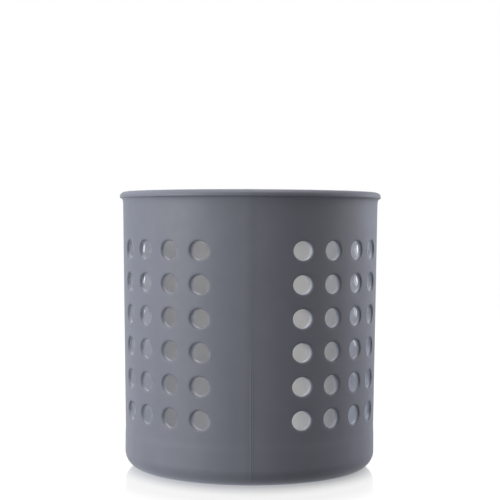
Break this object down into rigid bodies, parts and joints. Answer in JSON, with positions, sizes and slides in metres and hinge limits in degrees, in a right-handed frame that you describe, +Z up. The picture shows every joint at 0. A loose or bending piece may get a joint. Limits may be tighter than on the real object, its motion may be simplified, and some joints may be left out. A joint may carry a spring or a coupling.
{
  "type": "cutlery drainer",
  "caption": "Round perforated moulded tub with a rolled lip and a lift-out cross divider, which stands cutlery upright in compartments and lets it drain.",
  "frame": {"origin": "on the resting plane, at the tub's axis", "axes": "+Z up along the tub's axis; the mould's parting planes are x = 0 and y = 0, and the divider's vanes stand at 45 degrees between them"},
  "size_m": [0.1232, 0.1232, 0.129],
  "materials": {
    "tub": "soft-touch matte blue-grey outside, paler inside",
    "divider": "fine satin pale grey"
  },
  "bodies": {
    "tub": {"tub": "tub"},
    "divider": {"divider": "divider"}
  },
  "joints": [
    {"name": "divider_lift", "type": "slide", "parent": "tub", "child": "divider", "axis": [0, 0, 1], "range_m": [0, 0.13]}
  ]
}
